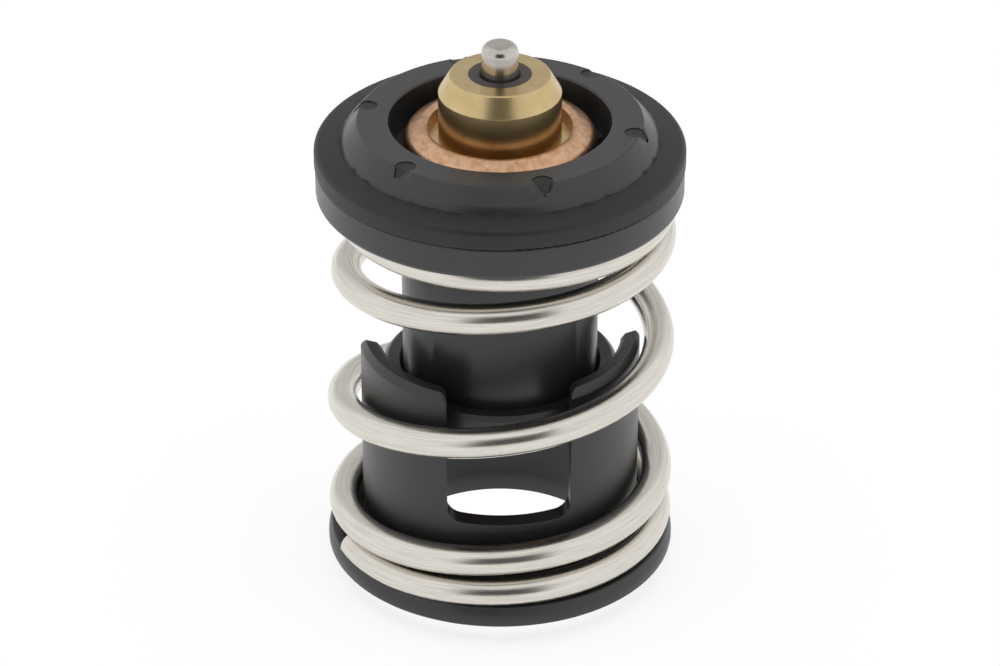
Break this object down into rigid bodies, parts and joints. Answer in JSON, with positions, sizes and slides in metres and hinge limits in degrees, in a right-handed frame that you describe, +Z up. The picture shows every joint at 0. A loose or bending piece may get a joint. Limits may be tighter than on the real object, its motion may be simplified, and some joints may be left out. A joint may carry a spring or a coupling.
{
  "type": "engine thermostat",
  "caption": "Insert valve for engine coolant: a rubber-rimmed disc with a wax element and working pin slides on its tube in a slotted cage, held shut by a coil spring.",
  "frame": {"origin": "centre of the underside of the base spigot", "axes": "+Z up along the working pin, from the cage to the valve disc; the narrow slot of the cage faces -Y"},
  "size_m": [0.0402, 0.0402, 0.0642],
  "materials": {
    "cage_plastic": "satin",
    "spring_steel": "satin",
    "valve_plastic": "satin",
    "seal_rubber": "matte",
    "cup_copper": "satin",
    "wax": "matte",
    "boot_rubber": "matte",
    "chafing_polymer": "matte",
    "guide_brass": "satin",
    "wiper_rubber": "satin",
    "pin_steel": "polished"
  },
  "bodies": {
    "cage": {"cage": "cage_plastic", "spring": "spring_steel"},
    "valve": {"valve_body": "valve_plastic", "rim_seal": "seal_rubber", "element_cup": "cup_copper", "wax_charge": "wax", "rubber_boot": "boot_rubber", "chafing_ring": "chafing_polymer", "pin_guide": "guide_brass", "wiper_ring": "wiper_rubber"},
    "pin": {"pin": "pin_steel"}
  },
  "joints": [
    {"name": "valve_travel", "type": "slide", "parent": "cage", "child": "valve", "axis": [0, 0, -1], "range_m": [0, 0.008], "stiffness_N_per_m": 8700, "springref_m": -0.008, "deforming": ["spring"]},
    {"name": "pin_travel", "type": "slide", "parent": "valve", "child": "pin", "axis": [0, 0, 1], "range_m": [0, 0.008]}
  ]
}
